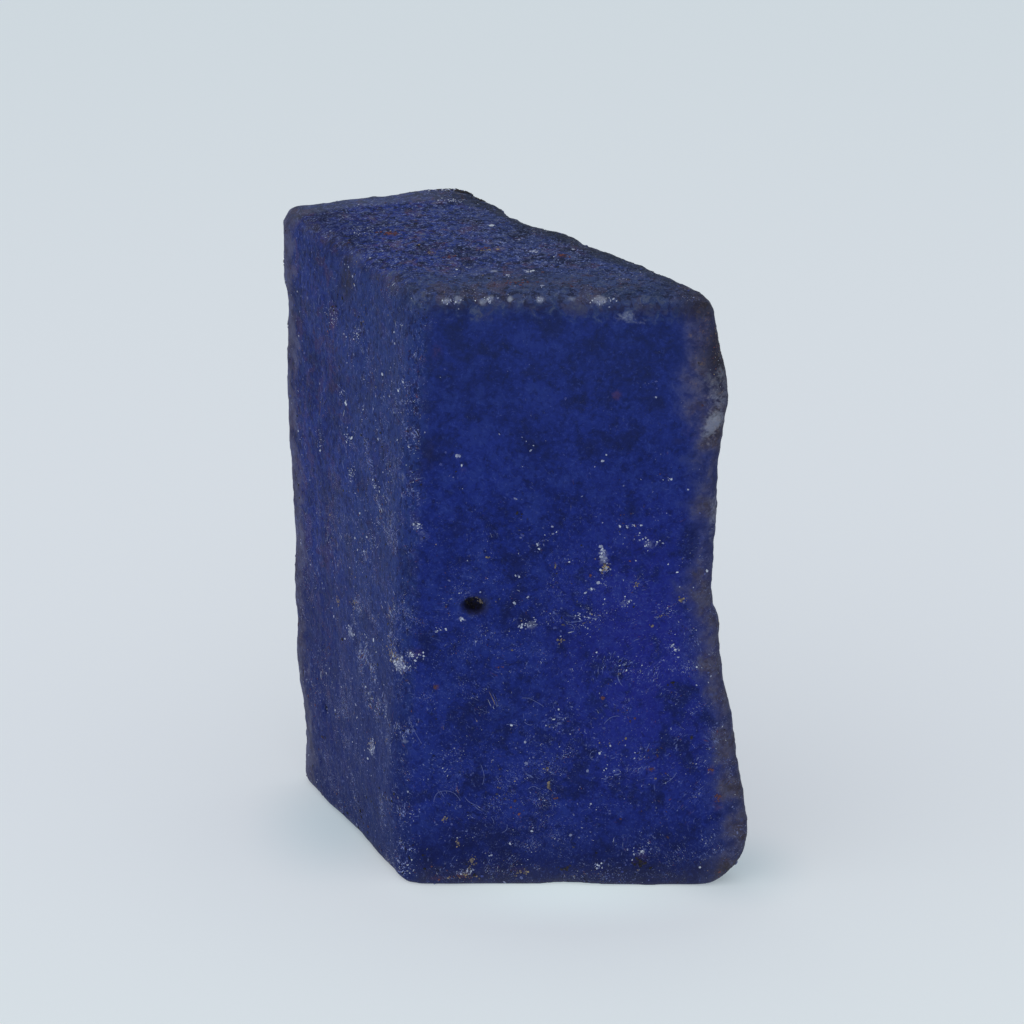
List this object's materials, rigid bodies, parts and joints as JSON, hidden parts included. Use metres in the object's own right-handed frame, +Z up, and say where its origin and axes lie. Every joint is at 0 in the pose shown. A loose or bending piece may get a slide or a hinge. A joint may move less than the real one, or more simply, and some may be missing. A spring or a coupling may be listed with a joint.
{
  "type": "rough tanzanite",
  "caption": "Worn block of rough blue tanzanite, kite-shaped in plan, that stands upright on its flat broken foot.",
  "frame": {"origin": "middle of the bounding box's underside; the flat foot rests on Z = 0", "axes": "+Z up along the stone's long edges, from foot to crown; the broad front face looks along -Y, and +X is to its right"},
  "size_m": [0.0216, 0.0152, 0.0292],
  "materials": {
    "tanzanite": "frosted and worn, deep blue with pale, brown and red specks"
  },
  "bodies": {
    "root": {"tanzanite": "tanzanite"}
  },
  "joints": []
}
